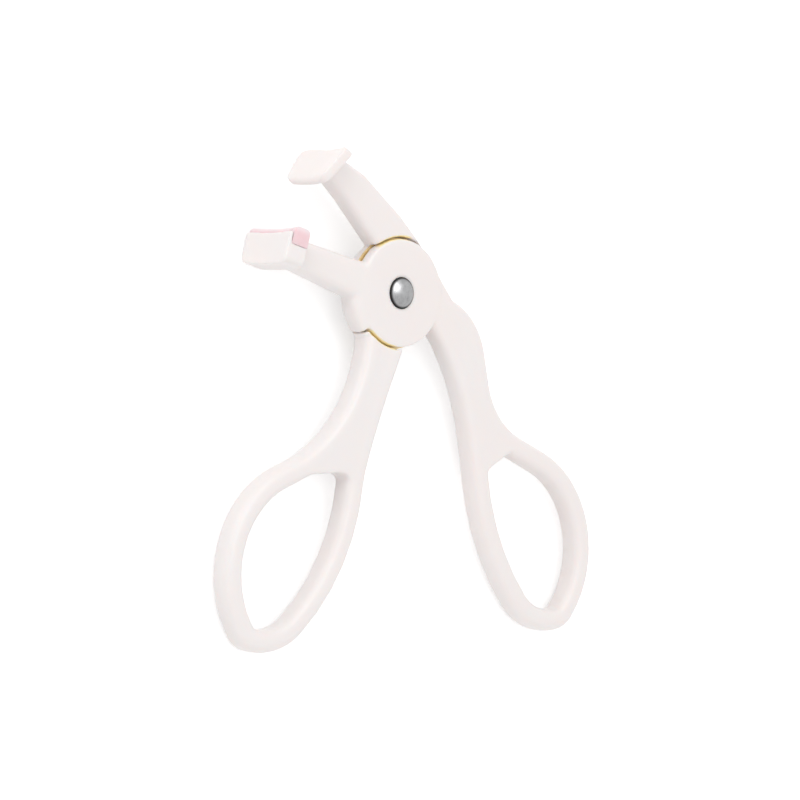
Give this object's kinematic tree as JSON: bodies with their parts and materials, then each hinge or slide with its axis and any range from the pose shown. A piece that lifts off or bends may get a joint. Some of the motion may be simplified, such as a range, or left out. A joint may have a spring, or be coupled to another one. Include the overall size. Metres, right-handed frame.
{
  "type": "eyelash curler",
  "caption": "Partial eyelash curler: two moulded levers with finger loops cross at a riveted hub and close a lid-curved press plate on a soft pad.",
  "frame": {"origin": "centre of the footprint, on the plane the heads' lower ends rest on", "axes": "+Z along the rivet, towards its domed head; +Y from the finger loops towards the jaws; +X away from the pad"},
  "size_m": [0.093, 0.0926, 0.0128],
  "materials": {
    "ivory_plastic": "satin moulded",
    "pink_silicone": "soft, slightly translucent",
    "steel": "polished",
    "brass": "plain"
  },
  "bodies": {
    "front": {"front_lever": "ivory_plastic", "lash_pad": "pink_silicone", "pivot_rivet": "steel", "lap_washer": "brass", "tail_washer": "steel"},
    "rear": {"rear_lever": "ivory_plastic"}
  },
  "joints": [
    {"name": "jaw_pivot", "type": "hinge", "parent": "front", "child": "rear", "pos_m": [-0.00419, 0.01959, 0.0064], "axis": [0, 0, 1], "range_deg": [0, 20]}
  ]
}
